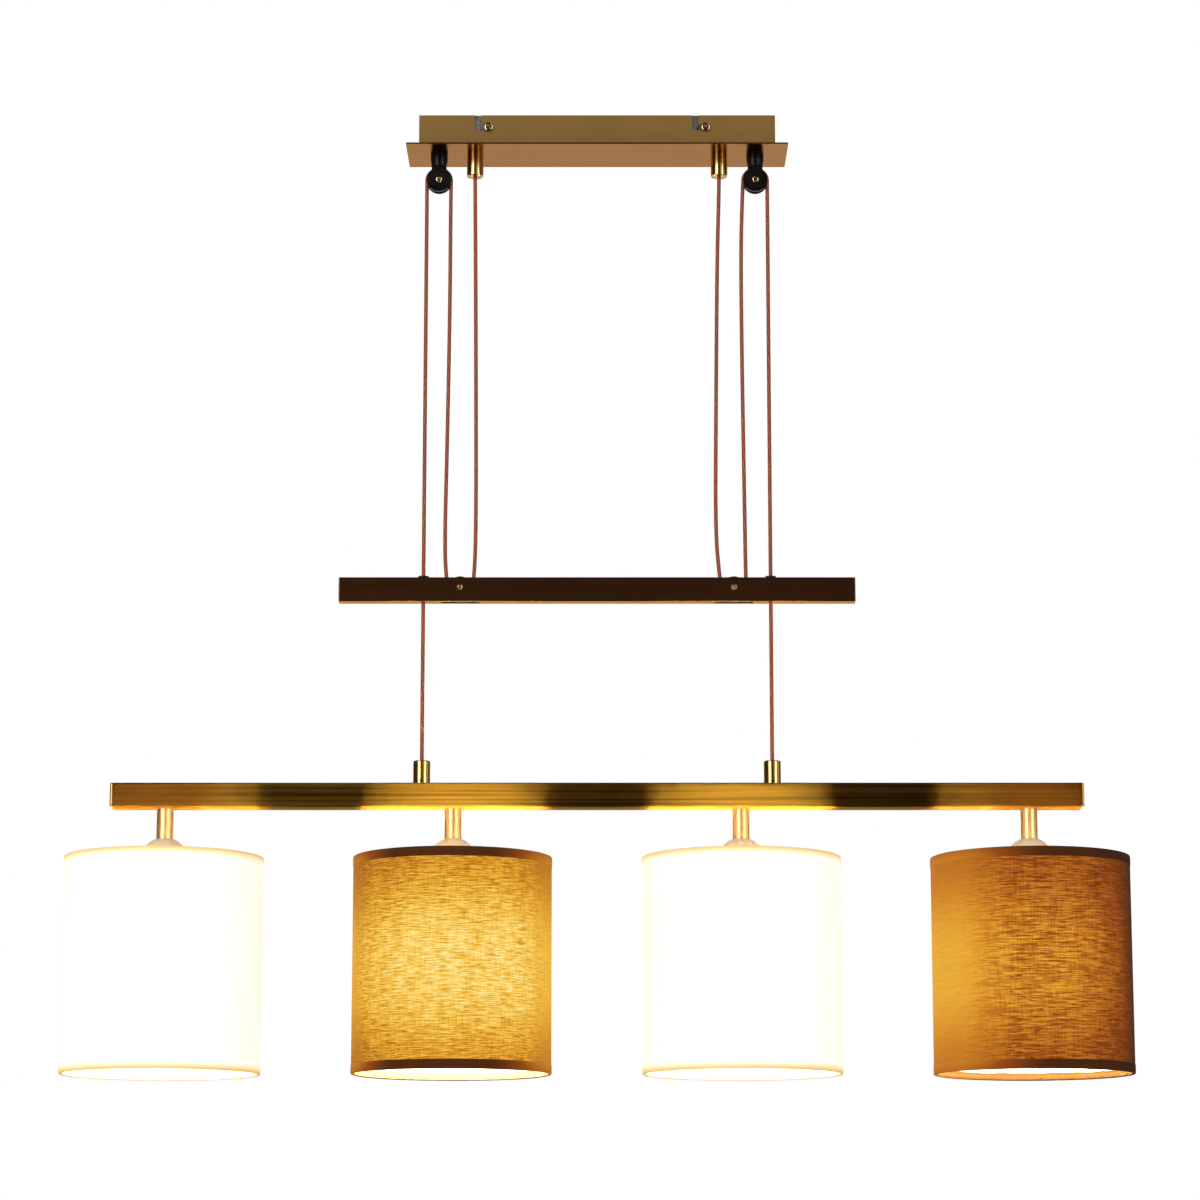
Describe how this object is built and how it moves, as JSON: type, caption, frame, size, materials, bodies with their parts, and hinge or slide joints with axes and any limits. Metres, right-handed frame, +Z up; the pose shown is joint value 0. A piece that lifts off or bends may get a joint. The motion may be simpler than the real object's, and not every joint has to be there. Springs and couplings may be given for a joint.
{
  "type": "pendant light",
  "caption": "Rise-and-fall pendant: ceiling box, pulley cords, a counterweight bar, and a slim brass bar carrying lit drum shades in white and brown cloth, pulled up or down over a table.",
  "frame": {"origin": "middle of the ceiling bracket's upper face, in the ceiling plane", "axes": "+Z up into the ceiling, +X along the bars to the viewer's right, +Y away from the viewer"},
  "size_m": [1.07, 0.2, 0.9875],
  "materials": {
    "zinc_steel": "satin",
    "matt_gold_paint": "matte",
    "brushed_copper": "gloss",
    "chrome_screw": "polished",
    "white_plastic": "satin",
    "terminal_brass": "satin",
    "black_plastic": "gloss",
    "wheel_plastic": "satin",
    "bright_brass": "polished",
    "grub_steel": "satin",
    "copper_cord": "satin",
    "dark_bronze": "satin",
    "iron_weight": "matte",
    "antique_brass": "satin",
    "wire_sheath": "satin",
    "cream_plastic": "satin",
    "white_wire": "satin",
    "white_cloth": "matte",
    "brown_cloth": "matte",
    "lit_glass": "satin",
    "bulb_cap_metal": "satin"
  },
  "bodies": {
    "canopy": {"ceiling_bracket": "zinc_steel", "canopy_box": "matt_gold_paint", "canopy_plate": "brushed_copper", "canopy_screws": "chrome_screw", "terminal_block": "white_plastic", "terminal_screws": "terminal_brass", "earth_screw": "chrome_screw", "canopy_lock_nuts": "zinc_steel", "supply_leads": "copper_cord", "pulley_axle_screws": "chrome_screw", "pulley_fork_left": "black_plastic", "pulley_fork_right": "black_plastic", "ceiling_gland_left": "bright_brass", "ceiling_gland_right": "bright_brass", "upper_cord_wrap_left": "copper_cord", "upper_cord_wrap_right": "copper_cord", "lamp_cord_left": "copper_cord", "lamp_cord_right": "copper_cord", "weight_cord_left": "copper_cord", "weight_cord_right": "copper_cord", "anchor_cord_left": "copper_cord", "anchor_cord_right": "copper_cord"},
    "ceiling_wheel_left": {"ceiling_wheel_left": "wheel_plastic"},
    "ceiling_wheel_right": {"ceiling_wheel_right": "wheel_plastic"},
    "counterweight": {"weight_tube": "dark_bronze", "weight_end_caps": "dark_bronze", "weight_bars": "iron_weight", "weight_axle_screws": "chrome_screw", "cord_bushes": "black_plastic", "wheel_housing_left": "black_plastic", "wheel_housing_right": "black_plastic", "lower_cord_wrap_left": "copper_cord", "lower_cord_wrap_right": "copper_cord"},
    "weight_wheel_left": {"weight_wheel_left": "wheel_plastic"},
    "weight_wheel_right": {"weight_wheel_right": "wheel_plastic"},
    "lamp_bar": {"lamp_tube": "antique_brass", "lamp_end_caps": "antique_brass", "lamp_gland_nuts": "zinc_steel", "gland_grub_screws": "grub_steel", "bar_wires": "wire_sheath", "lamp_leads": "wire_sheath", "stems": "bright_brass", "stem_nipples": "zinc_steel", "stem_nuts": "zinc_steel", "lampholder_caps": "cream_plastic", "lampholder_bodies": "white_plastic", "lampholder_contacts": "terminal_brass", "shade_clamp_rings": "white_plastic", "shade_top_frames": "white_wire", "shade_bottom_rings": "white_wire", "bulb_bases": "bulb_cap_metal", "bulb_globes": "lit_glass", "lamp_gland_left": "bright_brass", "lamp_gland_right": "bright_brass", "shade_1": "white_cloth", "shade_2": "brown_cloth", "shade_3": "white_cloth", "shade_4": "brown_cloth"}
  },
  "joints": [
    {"name": "lamp_lift", "type": "slide", "parent": "canopy", "child": "lamp_bar", "axis": [0, 0, 1], "range_m": [-0.55, 0.1], "deforming": ["lamp_cord_left", "lamp_cord_right"]},
    {"name": "weight_lift", "type": "slide", "parent": "canopy", "child": "counterweight", "axis": [0, 0, 1], "range_m": [-0.06, 0.285], "deforming": ["weight_cord_left", "weight_cord_right", "anchor_cord_left", "anchor_cord_right"]},
    {"name": "ceiling_wheel_left_turn", "type": "hinge", "parent": "canopy", "child": "ceiling_wheel_left", "pos_m": [-0.1645, 0, -0.0624], "axis": [0, 1, 0], "continuous": true},
    {"name": "weight_wheel_left_turn", "type": "hinge", "parent": "counterweight", "child": "weight_wheel_left", "pos_m": [-0.1395, 0, -0.4947], "axis": [0, 1, 0], "continuous": true},
    {"name": "ceiling_wheel_right_turn", "type": "hinge", "parent": "canopy", "child": "ceiling_wheel_right", "pos_m": [0.1645, 0, -0.0624], "axis": [0, 1, 0], "continuous": true},
    {"name": "weight_wheel_right_turn", "type": "hinge", "parent": "counterweight", "child": "weight_wheel_right", "pos_m": [0.1395, 0, -0.4947], "axis": [0, 1, 0], "continuous": true}
  ],
  "couplings": [
    {"joint": "weight_lift", "follows": "lamp_lift", "ratio": -0.5},
    {"joint": "ceiling_wheel_left_turn", "follows": "lamp_lift", "rad_per_m": 80},
    {"joint": "weight_wheel_left_turn", "follows": "lamp_lift", "rad_per_m": -40},
    {"joint": "ceiling_wheel_right_turn", "follows": "lamp_lift", "rad_per_m": -80},
    {"joint": "weight_wheel_right_turn", "follows": "lamp_lift", "rad_per_m": 40}
  ]
}
